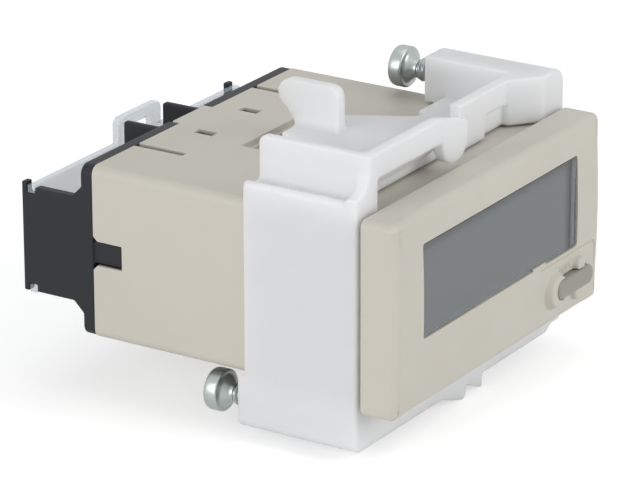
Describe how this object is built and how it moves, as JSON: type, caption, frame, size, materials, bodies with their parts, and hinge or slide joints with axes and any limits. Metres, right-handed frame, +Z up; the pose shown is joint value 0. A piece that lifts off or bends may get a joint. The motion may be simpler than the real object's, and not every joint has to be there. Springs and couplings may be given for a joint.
{
  "type": "panel-mount hour meter",
  "caption": "Self-powered panel-mount hour meter with a blank display, reset key, rear screw terminals under a clear cover, and a sliding clamp frame with screws.",
  "frame": {"origin": "centre of the bezel's rear face, where it seats on the panel", "axes": "+X to the right seen from the front, +Y from the front to the rear, +Z up"},
  "size_m": [0.048, 0.0543, 0.0373],
  "materials": {
    "case_plastic": "fine satin moulding, warm light grey",
    "window_plastic": "clear, polished",
    "display_glass": "blank reflective display, grey",
    "white_plastic": "satin",
    "contact_rubber": "matte",
    "board": "solder mask",
    "component_black": "moulded",
    "plated_steel": "nickel plated",
    "key_plastic": "satin",
    "battery_sleeve": "shrink sleeve",
    "black_plastic": "satin moulding",
    "copper": "tinned wire",
    "brass_plate": "plated",
    "clear_plastic": "clear, slightly smoky",
    "adapter_plastic": "natural translucent white",
    "zinc_screw": "zinc plated"
  },
  "bodies": {
    "meter": {"case": "case_plastic", "display_window": "window_plastic", "terminal_block": "black_plastic", "terminal_plates": "brass_plate", "clamp_washers": "plated_steel", "terminal_screws": "plated_steel", "terminal_cover": "clear_plastic", "display_cell": "display_glass", "display_holder": "white_plastic", "contact_strips": "contact_rubber", "main_board": "board", "processor_chip": "component_black", "crystal": "plated_steel", "key_switch": "component_black", "battery": "battery_sleeve", "battery_cradle": "black_plastic", "battery_tabs": "plated_steel", "link_wires": "copper", "rear_board": "board", "selector_body": "component_black"},
    "key": {"reset_key": "key_plastic"},
    "selector": {"range_selector": "white_plastic"},
    "adapter": {"mounting_adapter": "adapter_plastic"},
    "upper_screw": {"upper_clamp_screw": "zinc_screw"},
    "lower_screw": {"lower_clamp_screw": "zinc_screw"}
  },
  "joints": [
    {"name": "key_press", "type": "slide", "parent": "meter", "child": "key", "axis": [0, 1, 0], "range_m": [0, 0.0006], "stiffness_N_per_m": 1500},
    {"name": "selector_slide", "type": "slide", "parent": "meter", "child": "selector", "axis": [1, 0, 0], "range_m": [-0.0009, 0.0009]},
    {"name": "adapter_slide", "type": "slide", "parent": "meter", "child": "adapter", "axis": [0, 1, 0], "range_m": [0, 0.0044]},
    {"name": "upper_clamp", "type": "slide", "parent": "adapter", "child": "upper_screw", "axis": [0, -1, 0], "range_m": [0, 0.0032]},
    {"name": "lower_clamp", "type": "slide", "parent": "adapter", "child": "lower_screw", "axis": [0, -1, 0], "range_m": [0, 0.0032]}
  ]
}
